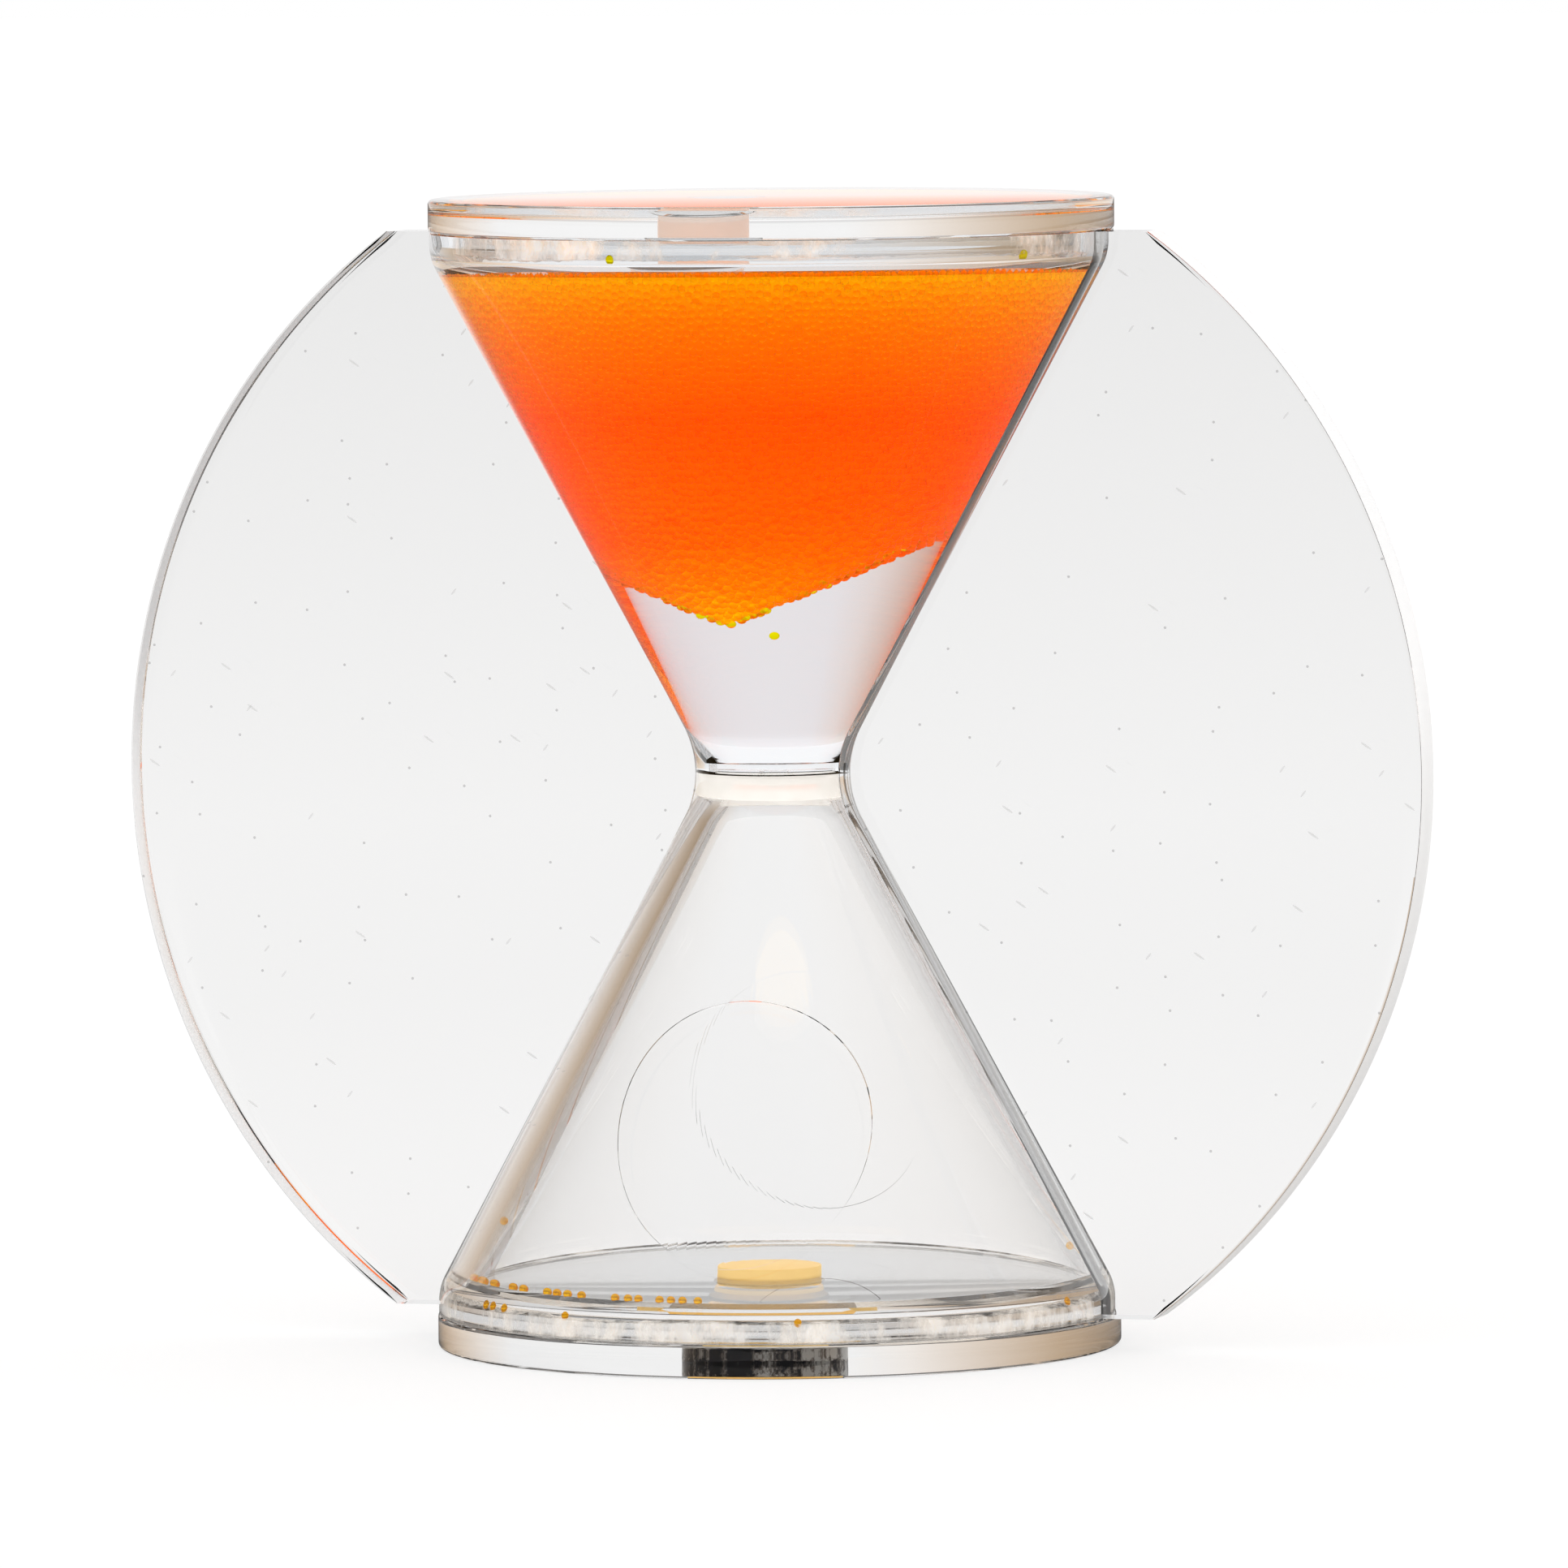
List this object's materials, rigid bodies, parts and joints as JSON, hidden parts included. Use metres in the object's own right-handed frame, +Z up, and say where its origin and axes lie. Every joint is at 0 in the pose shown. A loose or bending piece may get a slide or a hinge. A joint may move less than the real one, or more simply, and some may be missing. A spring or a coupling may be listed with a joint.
{
  "type": "liquid motion timer",
  "caption": "Clear acrylic hourglass timer with two flat round-edged wings and orange beads that float up through the neck",
  "frame": {"origin": "middle of the flat foot", "axes": "+Z up through the neck, +X along the wings"},
  "size_m": [0.127, 0.065, 0.109],
  "materials": {
    "clear_acrylic": "polished clear",
    "cement": "cured clear cement with bubbles",
    "orange_beads": "smooth translucent",
    "liquid": "clear liquid",
    "pink_stopper": "smooth",
    "tan_rubber": "matt"
  },
  "bodies": {
    "timer": {"upper_funnel": "clear_acrylic", "lower_funnel": "clear_acrylic", "orifice_disc": "clear_acrylic", "left_wing": "clear_acrylic", "right_wing": "clear_acrylic", "upper_cap": "clear_acrylic", "lower_cap": "clear_acrylic", "neck_bond": "cement", "upper_cap_bond": "cement", "lower_cap_bond": "cement", "upper_plug_seal": "cement", "lower_plug_seal": "cement", "bead_charge": "orange_beads", "upper_gap_beads": "orange_beads", "lower_gap_beads": "orange_beads", "lower_wall_beads": "orange_beads", "liquid_upper": "liquid", "liquid_lower": "liquid", "upper_plug": "pink_stopper", "lower_plug": "tan_rubber"},
    "rising_bead": {"rising_bead": "orange_beads"}
  },
  "joints": [
    {"name": "bead_rise", "type": "slide", "parent": "timer", "child": "rising_bead", "axis": [0, 0, 1], "range_m": [-0.0608, 0], "stiffness_N_per_m": 0.02}
  ]
}
